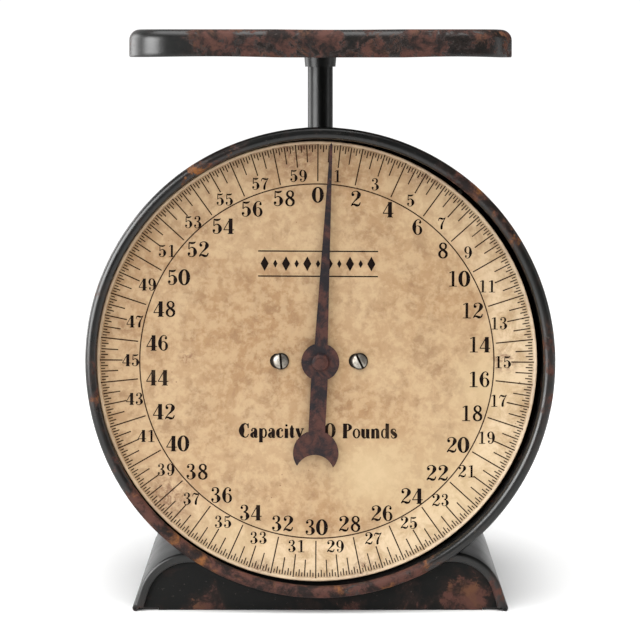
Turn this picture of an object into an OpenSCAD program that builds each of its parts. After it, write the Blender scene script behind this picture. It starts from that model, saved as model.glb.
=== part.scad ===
// Countertop dial scale: sheet-metal drum and platform on a low arched pedestal.
// The platform post loads two extension springs and a rack turns the pointer once
// round the dial. Millimetres, +Z up, the dial faces -Y, the floor is z = 0.

/* [Drum] */
// Outer diameter of the rolled front rim
rim_d = 228.6; // [220:0.1:235]
// Height of the dial centre above the floor
axis_z = 121.4; // [119:0.1:124]
// Rim face, in front of the post centre
rim_front = 84; // [82:0.5:88]
// Back of the drum, behind the post centre
drum_back = 40; // [38:0.5:45]

/* [Dial] */
// Diameter of the dial plate
dial_d = 214.6; // [208:0.1:216]
// How far the dial plate has slipped sideways in its screw holes
dial_slip = -1.7; // [-1.7:0.1:0]
// Clockwise angle of the pointer with nothing on the platform
pointer_rest_angle = 2.9; // [0:0.1:10]

/* [Platform] */
// Side of the square platform
pan_w = 187; // [170:1:200]
// Height of the platform surface above the floor
pan_top = 283; // [279:0.5:290]
// Depth of the platform's turned-down skirt
skirt_h = 13.7; // [12:0.1:15]
// Outer diameter of the post
post_d = 13; // [12:0.1:14]

/* [Base] */
// Width of the pedestal at the floor
base_w = 182.8; // [180:0.2:190]
// Depth of the pedestal
base_depth = 156; // [152:1:170]
// Height of the pedestal
base_h = 28.5; // [26:0.5:30]

/* [Movement] */
// Platform travel for one full turn of the pointer
travel = 24; // [24:1:24]
// Number of teeth on the pinion
pinion_teeth = 12; // [12:1:12]

/* [Hidden] */
$fn = 96;

enamel = "#23211e";
primer = "#6a3d2c";
dial_cream = "#c9b28a";
steel = "#9c9a95";
dark_steel = "#55524d";
brass = "#b08d4c";

eps = 0.01;
sheet = 1.2;

// Drum
rim_r = rim_d / 2;
roll_r = 2.9;
wall_r = rim_r - 4.7;
wall_t = 1;
pocket_r = wall_r + 1.6;
shoulder_front = 72;
pocket_front = rim_front - 2 * roll_r - 0.02;
cover_flange = 7;
cover_dish = 2.5;
dial_r = dial_d / 2;
dial_front = rim_front - 8;
dial_t = 0.8;

// Movement, in heights and in distances in front of the post centre
pitch_r = travel / (2 * PI);
tooth_pitch = travel / pinion_teeth;
addendum = 0.5;
dedendum = 0.65;
pressure_angle = 25;
tooth_share = 0.42;
pinion_front = 46;
pinion_w = 8;
rack_front = 44.5;
rack_t = 5;
rack_low = axis_z - 6;
rack_high = axis_z + travel + 6;
arbor_r = 2;
running = 0.06;
plate_front = 70;
plate_t = 1.6;
plate_w = 60;
plate_h = 186;
bridge_front = 30;
bridge_post_x = 23;
screw_x = 19.2;
screw_r = 2;
slot_w = 1.1;
slot_depth = 1;
left_slot_turn = 95;
right_slot_turn = 116;

// Check links
link_length = 70;
link_lift = travel / 2;
link_swing = link_length - sqrt(pow(link_length, 2) - pow(link_lift, 2));
link_rest = atan(link_lift / (link_length - link_swing / 2));
link_pivot_front = 54;
link_x = 12.2;
link_t = 1.5;
link_pin_r = 2;
link_eye_r = 4.2;
ear_x = 14.3;
ear_t = 1.6;
upper_pivot_z = 178;
lower_pivot_z = 58;
eye_back = link_length - link_swing / 2 - link_pivot_front;

// Springs and hanger
spring_x = 34;
wire_r = 1.3;
coil_r = 7.8;
coil_turns = 20;
load_bar_z = 51;
bar_h = 12;
bar_t = 3;
hanger_z = 199;
hook_r = 5;
hook_hole_r = 1.9;
zero_y = 24;
zero_r = 2.5;
knob_r = 6;

module about_dial_axis() {
    translate([0, 0, axis_z]) rotate([90, 0, 0]) children();
}

module rounded_square(w, r, t) {
    linear_extrude(t) union() {
        square([w - 2 * r, w], center = true);
        square([w, w - 2 * r], center = true);
        for (x = [-1, 1], y = [-1, 1]) translate([x, y] * (w / 2 - r)) circle(r);
    }
}

// Long bar along y whose two upper edges are rounded
module loaf(w, edge_r, h) {
    translate([0, w / 2, 0]) rotate([90, 0, 0]) linear_extrude(w) union() {
        translate([-w / 2, 0]) square([w, h - edge_r]);
        translate([-w / 2 + edge_r, 0]) square([w - 2 * edge_r, h]);
        for (x = [-1, 1]) translate([x * (w / 2 - edge_r), h - edge_r]) circle(edge_r);
    }
}

// A slab with rounded corners and a rounded upper edge
module soft_slab(w, corner_r, edge_r, h) {
    intersection() {
        rounded_square(w, corner_r, h);
        loaf(w, edge_r, h);
        rotate(90) loaf(w, edge_r, h);
    }
}

// Pan or cheese head screw with a slot, standing on z = 0 with its shank below
module slotted_screw(head_r, head_h, shank_r, shank_l) {
    difference() {
        union() {
            cylinder(r = head_r, h = head_h * 0.5);
            translate([0, 0, head_h * 0.5]) intersection() {
                translate([0, 0, -head_r * 2 + head_h * 0.5]) sphere(head_r * 2);
                cylinder(r = head_r, h = head_h);
            }
        }
        translate([0, 0, head_h]) cube([2 * head_r + 1, slot_w, 2 * slot_depth], center = true);
    }
    translate([0, 0, -shank_l]) cylinder(r = shank_r, h = shank_l + eps);
}

// ---- Drum ----

module drum_shell() {
    color(enamel) difference() {
        about_dial_axis() union() {
            rotate_extrude() polygon([
                [wall_r - wall_t, -drum_back], [wall_r, -drum_back], [wall_r, shoulder_front - 1],
                [pocket_r, shoulder_front - 1], [pocket_r, pocket_front], [pocket_r - wall_t, pocket_front],
                [pocket_r - wall_t, shoulder_front], [wall_r - wall_t, shoulder_front]
            ]);
            rotate_extrude() translate([wall_r - cover_flange, -drum_back]) square([cover_flange, wall_t]);
        }
        cylinder(r = post_d / 2 + 2, h = 2 * rim_d);
        translate([0, zero_y, axis_z]) cylinder(r = zero_r + 0.5, h = rim_d);
        cover_screw_places() translate([0, 0, -5]) cylinder(r = 1.5, h = 10);
        frame_screw_places() translate([0, 0, -6]) cylinder(r = 2, h = 12);
        saddle_screw_places() cylinder(r = 2, h = 20);
    }
}

// Rolled front rim with a skirt that reaches into the pocket
module rim_bezel() {
    skirt_t = 0.45;
    skirt_back = dial_front + 0.4;
    color(enamel) about_dial_axis() rotate_extrude() {
        translate([rim_r - roll_r, rim_front - roll_r]) circle(roll_r);
        translate([pocket_r - wall_t - 0.05 - skirt_t, skirt_back]) square([skirt_t, rim_front - roll_r - 1 - skirt_back]);
    }
}

module dial_plate() {
    color(dial_cream) about_dial_axis() difference() {
        translate([dial_slip, 0, dial_front - dial_t]) cylinder(r = dial_r, h = dial_t);
        translate([dial_slip, 0, 0]) {
            cylinder(r = 6, h = rim_d);
            for (x = [-screw_x, screw_x]) translate([x, 0, 0]) cylinder(r = 3.7, h = rim_d);
        }
    }
}

module dial_spacers() {
    color(steel) about_dial_axis() for (x = [-screw_x, screw_x]) translate([x, 0, plate_front]) difference() {
        cylinder(r = 5.5, h = dial_front - dial_t - plate_front);
        translate([0, 0, -eps]) cylinder(r = screw_r + 0.05, h = rim_front);
    }
}

module dial_screws() {
    color(steel) about_dial_axis() {
        translate([-screw_x, 0, dial_front]) rotate(left_slot_turn) slotted_screw(4, 2.3, screw_r, 9.5);
        translate([screw_x, 0, dial_front]) rotate(right_slot_turn) slotted_screw(4, 2.3, screw_r, 9.5);
    }
}

module cover_screw_places() {
    about_dial_axis() for (turn = [45:90:315])
        rotate(turn) translate([wall_r - cover_flange / 2, 0, -drum_back]) children();
}

module back_cover() {
    dish_r = wall_r - 14;
    color(enamel) difference() {
        about_dial_axis() translate([0, 0, -drum_back - wall_t]) rotate_extrude() union() {
            translate([dish_r - 1, 0]) square([wall_r - dish_r + 1, wall_t]);
            polygon([[dish_r - 1, 0], [dish_r, wall_t], [dish_r - 3, wall_t - cover_dish], [dish_r - 4, -cover_dish]]);
            translate([0, -cover_dish]) square([dish_r - 3, wall_t]);
        }
        cover_screw_places() translate([0, 0, -5]) cylinder(r = 1.6, h = 10);
    }
}

module back_screws() {
    color(steel) cover_screw_places() rotate([180, 0, 0]) translate([0, 0, wall_t])
        slotted_screw(2.8, 1.8, 1.45, 4);
}

// Low collar pressed into the drum around the moving post
module post_bush() {
    outer = post_d / 2 + 1.9;
    top = axis_z + wall_r;
    color(enamel) difference() {
        union() {
            difference() {
                translate([0, 0, top - 4]) cylinder(r = outer + 3, h = 4.8);
                about_dial_axis() translate([0, 0, -rim_d / 2]) cylinder(r = wall_r, h = rim_d);
            }
            translate([0, 0, top - 6]) cylinder(r = outer, h = 7.3);
        }
        translate([0, 0, top - 7]) cylinder(r = post_d / 2 + 0.4, h = 20);
    }
}

// ---- Pedestal ----

flare_in = 2.8;
lip = 2.6;
panel_t = 1;
hem_r = 1.5;
flange_w = 11;
shoulder_arc_r = 25.3;
shoulder_start = 15;
shoulder_x = base_w / 2 - flare_in - shoulder_arc_r * cos(shoulder_start);
shoulder_z = base_h - shoulder_arc_r;

// Half outline of the arch at a depth t inside the outer skin, from foot to crown
function arch_half(t) = concat(
    [[base_w / 2 - t, 0]],
    [for (a = [shoulder_start:7.5:90]) [shoulder_x + (shoulder_arc_r - t) * cos(a), shoulder_z + (shoulder_arc_r - t) * sin(a)]]
);

module arch(t) {
    half_outline = arch_half(t);
    flipped = [for (i = [len(half_outline) - 1:-1:0]) [-half_outline[i][0], half_outline[i][1]]];
    polygon(concat(half_outline, flipped));
}

module across_depth(y, depth) {
    translate([0, y + depth, 0]) rotate([90, 0, 0]) linear_extrude(depth) children();
}

// Room for the drum, with its wider front pocket, from the front to a distance behind the post
module drum_clearance(gap, back) {
    about_dial_axis() {
        translate([0, 0, -back]) cylinder(r = wall_r + gap, h = shoulder_front + back);
        translate([0, 0, shoulder_front - 1 - gap]) cylinder(r = pocket_r + gap, h = base_depth);
    }
}

module foot_flanges() {
    for (side = [-1, 1]) {
        translate([side * (base_w / 2 - hem_r), base_depth / 2, hem_r]) rotate([90, 0, 0])
            cylinder(r = hem_r, h = base_depth);
        translate([side * (base_w / 2 - hem_r - flange_w / 2), 0, sheet / 2])
            cube([flange_w, base_depth, sheet], center = true);
    }
}

module base_wrap() {
    color(enamel) difference() {
        union() {
            across_depth(-base_depth / 2, base_depth) difference() {
                arch(0);
                arch(sheet);
            }
            for (y = [-base_depth / 2, base_depth / 2 - lip]) across_depth(y, lip) difference() {
                arch(0);
                arch(lip + 0.4);
            }
            foot_flanges();
        }
        drum_clearance(0.3, drum_back + 6);
    }
}

module base_panel(y) {
    color(enamel) difference() {
        across_depth(y, panel_t) arch(sheet);
        foot_flanges();
        drum_clearance(0.3, drum_back);
    }
}

module base_front_panel() {
    base_panel(-base_depth / 2 + lip);
}

module base_rear_panel() {
    base_panel(base_depth / 2 - lip - panel_t);
}

module saddle_strap() {
    color(enamel) difference() {
        translate([0, 0, 0.75]) cube([base_w - 2 * (hem_r + flange_w) - 0.1, 44, 1.5], center = true);
        saddle_screw_places() cylinder(r = 2.05, h = 20);
    }
}

module saddle_screw_places() {
    for (y = [-14, 14]) translate([0, y, -1]) children();
}

module saddle_block() {
    color(dark_steel) difference() {
        translate([-26, -22, 1.5]) cube([52, 44, 20]);
        drum_clearance(0, base_depth);
        saddle_screw_places() cylinder(r = 2.05, h = 20);
    }
}

module saddle_screws() {
    low = axis_z - wall_r + wall_t + 0.08;
    color(steel) for (y = [-14, 14]) translate([0, y, low]) slotted_screw(3.8, 2.2, 1.95, low - 0.5);
}

// ---- Fixed frame of the movement ----

module frame_screw_places() {
    for (side = [-1, 1]) translate([0, -plate_front + 10, axis_z]) rotate([0, side < 0 ? 180 : 0, 0])
        translate([0, 0, wall_r]) children();
}

module frame_plate() {
    flange_depth = 18;
    color(steel) difference() {
        union() {
            translate([-plate_w / 2, -plate_front, axis_z - plate_h / 2]) cube([plate_w, plate_t, plate_h]);
            for (side = [-1, 1]) translate([0, -plate_front, axis_z + side * (plate_h / 2 + 8)])
                translate([-12, 0, -9.5]) cube([24, plate_t, 19]);
            intersection() {
                about_dial_axis() translate([0, 0, plate_front - flange_depth]) difference() {
                    cylinder(r = wall_r - wall_t, h = flange_depth);
                    translate([0, 0, -eps]) cylinder(r = wall_r - wall_t - plate_t, h = rim_d);
                }
                translate([-12, -rim_d / 2, 0]) cube([24, rim_d, 2 * rim_d]);
            }
        }
        frame_outside();
        about_dial_axis() cylinder(r = arbor_r + 2.05, h = rim_front);
        for (x = [-screw_x, screw_x]) about_dial_axis() translate([x, 0, 0]) cylinder(r = screw_r + 0.05, h = rim_front);
        for (z = [axis_z - 28, axis_z + 28], x = [-1, 1])
            translate([x * bridge_post_x, 0, z]) rotate([90, 0, 0]) cylinder(r = 2.05, h = rim_front);
        frame_screw_places() translate([0, 0, -6]) cylinder(r = 2, h = 12);
    }
}

// Everything beyond the inside of the drum wall
module frame_outside() {
    about_dial_axis() difference() {
        cylinder(r = rim_r, h = rim_front);
        translate([0, 0, -eps]) cylinder(r = wall_r - wall_t, h = rim_front + 1);
    }
}

module frame_screws() {
    color(steel) frame_screw_places() slotted_screw(3.4, 1.9, 1.95, 5);
}

module link_ears() {
    depth = plate_front - plate_t - link_pivot_front + 6;
    color(steel) for (z = [upper_pivot_z, lower_pivot_z]) difference() {
        union() {
            for (side = [-1, 1]) translate([side * ear_x - (side < 0 ? ear_t : 0), -plate_front + plate_t, z - 6])
                cube([ear_t, depth, 12]);
            translate([-ear_x - ear_t, -plate_front + plate_t, z - 6]) cube([2 * (ear_x + ear_t), 1.4, 12]);
        }
        translate([-20, -link_pivot_front, z]) rotate([0, 90, 0]) cylinder(r = link_pin_r + 0.01, h = 40);
    }
}

// Plate behind the front plate that carries the back end of the arbor
module arbor_bridge() {
    color(steel) difference() {
        union() {
            translate([-bridge_post_x - 5, -bridge_front, axis_z - 10]) cube([2 * bridge_post_x + 10, plate_t, 20]);
            for (side = [-1, 1]) translate([side * bridge_post_x - 5, -bridge_front, axis_z - 33]) cube([10, plate_t, 66]);
            for (side = [-1, 1], up = [-28, 28]) translate([side * bridge_post_x, -bridge_front + eps, axis_z + up])
                rotate([90, 0, 0]) cylinder(r = 3, h = plate_front - plate_t - bridge_front);
            for (side = [-1, 1], up = [-28, 28]) translate([side * bridge_post_x, -bridge_front + eps, axis_z + up])
                rotate([90, 0, 0]) cylinder(r = 2, h = plate_front - bridge_front + 1.6);
        }
        about_dial_axis() cylinder(r = arbor_r + 2.05, h = rim_front);
    }
}

module arbor_bushes() {
    color(brass) about_dial_axis() for (z = [bridge_front - plate_t - 1.5, plate_front - plate_t - 1.5])
        translate([0, 0, z]) difference() {
            union() {
                cylinder(r = arbor_r + 2, h = plate_t + 1.5);
                cylinder(r = arbor_r + 3.2, h = 1.45);
            }
            translate([0, 0, -eps]) cylinder(r = arbor_r + running, h = 10);
        }
}

module link_pivot_pins() {
    half = ear_x + ear_t + 0.8;
    color(steel) for (z = [upper_pivot_z, lower_pivot_z]) translate([-half, -link_pivot_front, z])
        rotate([0, 90, 0]) {
            cylinder(r = link_pin_r, h = 2 * half);
            translate([0, 0, -1]) cylinder(r = 3, h = 1);
            translate([0, 0, 2 * half]) cylinder(r = 3, h = 1);
        }
}

// ---- Platform and everything that rides on the post ----

bracket_top = pan_top - sheet;
boss_z = pan_top - skirt_h + 0.4;
collar_h = 5.6;

module platform_pan() {
    corner_r = 20;
    edge_r = 5;
    color(enamel) translate([0, 0, pan_top - skirt_h]) difference() {
        soft_slab(pan_w, corner_r, edge_r, skirt_h);
        translate([0, 0, -sheet]) soft_slab(pan_w - 2 * sheet, corner_r - sheet, edge_r - sheet, skirt_h);
        pan_rivet_places() cylinder(r = 2, h = skirt_h + 1);
    }
}

module pan_rivet_places() {
    for (turn = [45:90:315]) rotate(turn) translate([44, 0, 0]) children();
}

// Dished spider that spreads the load of the platform into the post
module pan_bracket() {
    thick = 2;
    color(enamel) difference() {
        union() {
            translate([0, 0, bracket_top - thick]) for (turn = [45, 135]) rotate(turn)
                translate([-54, -13, 0]) cube([108, 26, thick]);
            translate([0, 0, boss_z]) cylinder(r1 = 11, r2 = 24, h = bracket_top - boss_z - thick);
            translate([0, 0, bracket_top - thick - eps]) cylinder(r = 24, h = thick + eps);
        }
        translate([0, 0, boss_z + 3]) cylinder(r1 = 9, r2 = 22, h = bracket_top - boss_z - 3 + eps);
        cylinder(r = post_d / 2, h = 2 * pan_top);
        pan_rivet_places() cylinder(r = 2, h = 2 * pan_top);
    }
}

module pan_rivets() {
    color(dark_steel) pan_rivet_places() {
        translate([0, 0, bracket_top - 4]) cylinder(r = 3.6, h = 2);
        translate([0, 0, bracket_top - 3]) cylinder(r = 1.95, h = 3 + sheet);
    }
}

module post_collar() {
    color(enamel) difference() {
        translate([0, 0, boss_z - collar_h]) cylinder(r1 = 7.9, r2 = 8.4, h = collar_h);
        cylinder(r = post_d / 2, h = 2 * pan_top);
    }
}

module post_tube() {
    low = load_bar_z + bar_h;
    color(enamel) difference() {
        translate([0, 0, low]) cylinder(r = post_d / 2, h = boss_z + 6 - low);
        translate([0, 0, low - 1]) cylinder(r = post_d / 2 - 1.6, h = 2 * pan_top);
    }
}

upper_eye_z = upper_pivot_z + link_lift;
lower_eye_z = lower_pivot_z + link_lift;

module carriage_pin(z) {
    translate([-link_x - link_t - 1.2, eye_back, z]) rotate([0, 90, 0])
        cylinder(r = link_pin_r, h = 2 * (link_x + link_t + 1.2));
}

module guide_clamp() {
    half = link_x - 1.7;
    color(dark_steel) difference() {
        union() {
            translate([0, 0, upper_eye_z - 5]) cylinder(r = half, h = 10);
            translate([-half, 0, upper_eye_z - 5]) cube([2 * half, eye_back + 4, 10]);
            carriage_pin(upper_eye_z);
        }
        cylinder(r = post_d / 2, h = 2 * pan_top);
    }
}

module carriage_block() {
    half = link_x - 1.7;
    color(dark_steel) difference() {
        union() {
            translate([-half, -half, load_bar_z + 1]) cube([2 * half, half + eye_back + 4, 24]);
            carriage_pin(lower_eye_z);
        }
        translate([0, 0, load_bar_z + bar_h]) cylinder(r = post_d / 2, h = 20);
        translate([0, 0, load_bar_z + bar_h / 2]) cube([40, bar_t, bar_h + 0.02], center = true);
    }
}

module sprung_bar(z) {
    difference() {
        translate([-spring_x - 7, -bar_t / 2, z]) cube([2 * (spring_x + 7), bar_t, bar_h]);
        for (side = [-1, 1]) translate([side * spring_x, 0, z + bar_h / 2]) rotate([90, 0, 0])
            cylinder(r = hook_hole_r, h = 2 * bar_t, center = true);
    }
}

module load_bar() {
    color(dark_steel) sprung_bar(load_bar_z);
}

rack_root_x = pitch_r + dedendum;
rack_back_x = rack_root_x + 4.2;

module rack_arm() {
    color(dark_steel) {
        translate([rack_root_x + 0.4, -rack_front, load_bar_z + 3])
            cube([rack_back_x - rack_root_x - 0.4, rack_front - 10.5, 7]);
        translate([rack_back_x, -rack_front, load_bar_z + 3]) cube([1.6, rack_t, rack_high - load_bar_z - 3]);
        translate([rack_root_x + 0.4, -rack_front, load_bar_z + 9.9])
            cube([rack_back_x - rack_root_x - 0.4, rack_t, rack_low - load_bar_z - 10]);
    }
}

// Rack teeth face -X and mesh with the right-hand side of the pinion
module rack() {
    half_pitch = tooth_share * tooth_pitch / 2;
    tip_half = half_pitch - addendum * tan(pressure_angle);
    root_half = half_pitch + dedendum * tan(pressure_angle);
    count = floor((rack_high - rack_low) / tooth_pitch);
    teeth = [for (i = [0:count - 1]) let (z = axis_z + (i - 2) * tooth_pitch) each [
        [rack_root_x, z - root_half], [pitch_r - addendum, z - tip_half],
        [pitch_r - addendum, z + tip_half], [rack_root_x, z + root_half]]];
    color(brass) translate([0, -rack_front + rack_t, 0]) rotate([90, 0, 0]) linear_extrude(rack_t) polygon(
        concat([[rack_back_x, rack_low], [rack_root_x, rack_low]], teeth,
            [[rack_root_x, rack_high], [rack_back_x, rack_high]]));
}

module rack_screws() {
    color(steel) for (z = [rack_low + 6, rack_high - 6])
        translate([rack_back_x + 1.6, -rack_front + rack_t / 2, z]) rotate([0, 90, 0]) cylinder(r = 1.8, h = 1.1);
}

// ---- Check links ----

// Side outline of a link, drawn from its pivot along +x
module link_outline() {
    difference() {
        union() {
            circle(link_eye_r);
            translate([0, -3]) square([link_length, 6]);
            translate([link_length, 0]) circle(link_eye_r);
        }
        circle(link_pin_r + running);
        translate([link_length, 0]) union() {
            for (x = [-1, 1]) translate([x * link_swing / 2, 0]) circle(link_pin_r + 0.12);
            square([link_swing, 2 * link_pin_r + 0.24], center = true);
        }
    }
}

module check_link(pivot_z) {
    color(dark_steel) translate([0, -link_pivot_front, pivot_z]) rotate([link_rest, 0, 0]) {
        for (x = [-link_x - link_t, link_x]) translate([x, 0, 0]) rotate([90, 0, 90])
            linear_extrude(link_t) link_outline();
        rotate([0, 90, 0]) difference() {
            cylinder(r = 3.4, h = 2 * link_x + 0.2, center = true);
            cylinder(r = link_pin_r + running, h = 3 * link_x, center = true);
        }
    }
}

module upper_link() {
    check_link(upper_pivot_z);
}

module lower_link() {
    check_link(lower_pivot_z);
}

// ---- Pointer, arbor and pinion ----

pointer_back = dial_front + 3;
pointer_t = 0.9;
pointer_length = 106.6;
hub_r = 9;
tail_neck = 35;
tail_tip = 50.4;

module pointer_outline() {
    blade_half = 3;
    tip_half = 0.4;
    shaft_half = 3.8;
    moon_r = 10.8;
    moon_down = 44.2;
    notch_r = 9.7;
    notch_top = 44.9;
    polygon([[-blade_half, 0], [-tip_half, pointer_length - 0.6], [0, pointer_length], [tip_half, pointer_length - 0.6],
        [blade_half, 0]]);
    circle(hub_r);
    translate([-shaft_half, -tail_neck - 4]) square([2 * shaft_half, tail_neck + 4]);
    difference() {
        intersection() {
            translate([0, -moon_down]) circle(moon_r);
            translate([-moon_r, -tail_tip]) square([2 * moon_r, tail_tip]);
        }
        translate([0, -notch_top - notch_r]) circle(notch_r);
    }
}

module pointer() {
    color(primer) about_dial_axis() difference() {
        translate([0, 0, pointer_back]) rotate(-pointer_rest_angle) union() {
            linear_extrude(pointer_t) pointer_outline();
            cylinder(r = 4.2, h = 2.6);
        }
        cylinder(r = arbor_r, h = rim_front);
    }
}

module arbor() {
    back = bridge_front - plate_t - 4;
    color(steel) about_dial_axis() translate([0, 0, back]) cylinder(r = arbor_r, h = pointer_back + 3 - back);
}

module arbor_clip() {
    color(steel) about_dial_axis() translate([0, 0, bridge_front - plate_t - 3]) difference() {
        cylinder(r = 3.4, h = 1);
        translate([0, 0, -eps]) cylinder(r = arbor_r, h = 2);
    }
}

base_r = pitch_r * cos(pressure_angle);
// Polar angle of the involute from its start, at radius r
function involute(r) = let (a = acos(base_r / r)) (tan(a) * 180 / PI - a);
half_tooth = 180 * tooth_share / pinion_teeth;
function flank(r, side) = let (a = side * (half_tooth + involute(pitch_r) - involute(r))) [r * cos(a), r * sin(a)];

module pinion() {
    root_r = pitch_r - dedendum;
    tip_r = pitch_r + addendum;
    steps = 4;
    start_half = half_tooth + involute(pitch_r);
    color(brass) about_dial_axis() translate([0, 0, pinion_front - pinion_w]) difference() {
        linear_extrude(pinion_w) {
            circle(root_r);
            for (i = [0:pinion_teeth - 1]) rotate((i + 0.5) * 360 / pinion_teeth) polygon(concat(
                [[root_r * 0.9 * cos(start_half), -root_r * 0.9 * sin(start_half)]],
                [for (k = [0:steps]) flank(base_r + (tip_r - base_r) * k / steps, -1)],
                [for (k = [steps:-1:0]) flank(base_r + (tip_r - base_r) * k / steps, 1)],
                [[root_r * 0.9 * cos(start_half), root_r * 0.9 * sin(start_half)]]
            ));
        }
        translate([0, 0, -eps]) cylinder(r = arbor_r, h = pinion_w + 1);
    }
}

// ---- Springs and zero adjustment ----

module hanger_bar() {
    boss_r = 5.5;
    color(dark_steel) difference() {
        union() {
            difference() {
                sprung_bar(hanger_z);
                cylinder(r = post_d / 2 + 3.2, h = 2 * pan_top);
            }
            difference() {
                union() {
                    translate([0, 0, hanger_z + 2]) cylinder(r = post_d / 2 + 5, h = 8);
                    translate([-boss_r, 0, hanger_z + 2]) cube([2 * boss_r, zero_y, 8]);
                    translate([0, zero_y, hanger_z + 2]) cylinder(r = boss_r, h = 8);
                }
                cylinder(r = post_d / 2 + 1, h = 2 * pan_top);
            }
        }
        translate([0, zero_y, hanger_z]) cylinder(r = zero_r + 0.05, h = 20);
    }
}

zero_seat = axis_z + wall_r + 0.1;

module zero_screw() {
    color(steel) translate([0, zero_y, hanger_z - 3]) cylinder(r = zero_r, h = zero_seat + 6 - hanger_z + 3);
}

module zero_washer() {
    color(steel) translate([0, zero_y, zero_seat - 0.1]) difference() {
        cylinder(r = knob_r, h = 0.6);
        translate([0, 0, -1]) cylinder(r = zero_r + running, h = 3);
    }
}

module zero_knob() {
    grooves = 24;
    color(brass) translate([0, zero_y, zero_seat + 0.7]) difference() {
        cylinder(r = knob_r - 0.3, h = 6.5);
        for (turn = [0:360 / grooves:359]) rotate(turn) translate([knob_r - 0.3, 0, -eps])
            cylinder(r = 0.35, h = 8);
        translate([0, 0, -eps]) cylinder(r = zero_r, h = 8);
    }
}

// The wire runs over the lower hook, up the coil and over the upper hook
loop_low = load_bar_z + bar_h / 2 + hook_r - 0.25;
loop_high = hanger_z + bar_h / 2 - hook_r + 0.25;
hook_leg = 11;
coil_low = loop_low + hook_leg;
coil_high = loop_high - hook_leg;
coil_pitch = (coil_high - coil_low) / coil_turns;
steps_per_turn = 10;
wire_sides = 6;

// Loop through a bar's hole, from the leg over to the far side
function hook_loop(centre_z, up) = concat(
    [[0, hook_r, centre_z - up]],
    [for (a = [20:30:230]) [0, hook_r * cos(a), centre_z + up * hook_r * sin(a)]]
);
function coil_angle(i) = 90 + 360 * i / steps_per_turn;
coil_path = [for (i = [0:coil_turns * steps_per_turn])
    [coil_r * cos(coil_angle(i)), coil_r * sin(coil_angle(i)), coil_low + coil_pitch * i / steps_per_turn]];
upper_hook = hook_loop(loop_high, 1);
lower_loop = hook_loop(loop_low, -1);
lower_hook = [for (i = [len(lower_loop) - 1:-1:0]) lower_loop[i]];
wire_path = concat(lower_hook, coil_path, upper_hook);

function unit(v) = v / norm(v);
function tangent(i) = unit(wire_path[min(i + 1, len(wire_path) - 1)] - wire_path[max(i - 1, 0)]);
function in_coil(i) = i >= len(lower_hook) && i < len(lower_hook) + len(coil_path);
function sideways(i) = in_coil(i) ? unit(cross(tangent(i), [wire_path[i][0], wire_path[i][1], 0])) : [-1, 0, 0];

module spring_wire() {
    count = len(wire_path);
    rings = [for (i = [0:count - 1]) let (side = sideways(i), out = cross(side, tangent(i)))
        for (k = [0:wire_sides - 1]) let (a = 360 * k / wire_sides)
            wire_path[i] + wire_r * (cos(a) * side + sin(a) * out)];
    walls = [for (i = [0:count - 2], k = [0:wire_sides - 1])
        let (next = (k + 1) % wire_sides, here = i * wire_sides, there = here + wire_sides)
        each [[here + k, here + next, there + next], [here + k, there + next, there + k]]];
    start_cap = [for (k = [wire_sides - 1:-1:0]) k];
    end_cap = [for (k = [0:wire_sides - 1]) (count - 1) * wire_sides + k];
    polyhedron(rings, concat([start_cap], walls, [end_cap]));
}

module left_spring() {
    color(steel) translate([-spring_x, 0, 0]) spring_wire();
}

module right_spring() {
    color(steel) translate([spring_x, 0, 0]) spring_wire();
}

drum_shell();
rim_bezel();
dial_plate();
dial_spacers();
dial_screws();
back_cover();
back_screws();
post_bush();
base_wrap();
base_front_panel();
base_rear_panel();
saddle_strap();
saddle_block();
saddle_screws();
frame_plate();
frame_screws();
link_ears();
arbor_bridge();
arbor_bushes();
link_pivot_pins();
platform_pan();
pan_bracket();
pan_rivets();
post_collar();
post_tube();
guide_clamp();
carriage_block();
load_bar();
rack_arm();
rack();
rack_screws();
upper_link();
lower_link();
pointer();
arbor();
pinion();
arbor_clip();
hanger_bar();
zero_screw();
zero_knob();
zero_washer();
left_spring();
right_spring();
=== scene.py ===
import math
import bmesh
import bpy
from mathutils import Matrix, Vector, noise


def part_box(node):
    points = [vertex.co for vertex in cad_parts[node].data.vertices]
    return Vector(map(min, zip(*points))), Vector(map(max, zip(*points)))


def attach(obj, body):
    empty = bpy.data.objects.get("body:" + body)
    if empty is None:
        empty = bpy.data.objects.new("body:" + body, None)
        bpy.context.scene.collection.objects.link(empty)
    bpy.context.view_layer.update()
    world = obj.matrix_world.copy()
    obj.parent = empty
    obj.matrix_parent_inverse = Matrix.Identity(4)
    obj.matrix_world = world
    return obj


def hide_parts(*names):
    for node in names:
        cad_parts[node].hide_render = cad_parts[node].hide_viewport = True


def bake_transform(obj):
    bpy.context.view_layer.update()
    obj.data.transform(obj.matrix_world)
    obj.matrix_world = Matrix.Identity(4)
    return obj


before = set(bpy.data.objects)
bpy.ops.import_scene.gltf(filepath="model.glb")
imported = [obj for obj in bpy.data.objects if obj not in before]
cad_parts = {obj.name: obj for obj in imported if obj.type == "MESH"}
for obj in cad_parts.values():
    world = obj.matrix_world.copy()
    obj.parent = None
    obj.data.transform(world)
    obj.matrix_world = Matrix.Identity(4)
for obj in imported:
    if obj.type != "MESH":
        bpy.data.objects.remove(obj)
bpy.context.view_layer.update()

# ---- sizes, all in metres
MM = 0.001


def span(node):
    """Lowest corner, highest corner and size of a CAD node's box."""
    low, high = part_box(node)
    return low, high, high - low


_, drum_high, drum_size = span("drum_shell")
rim_low, _, rim_size = span("rim_bezel")
_, _, cover_size = span("back_cover")
plate_low, plate_high, plate_size = span("dial_plate")
pan_low, pan_high, pan_size = span("platform_pan")
base_low, base_high, base_size = span("base_wrap")
_, _, post_size = span("post_tube")
spring_low, spring_high, _ = span("right_spring")
_, pointer_high, _ = span("pointer")
screw_low, screw_high, screw_size = span("zero_screw")
heads_low, heads_high, heads_size = span("dial_screws")

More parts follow.
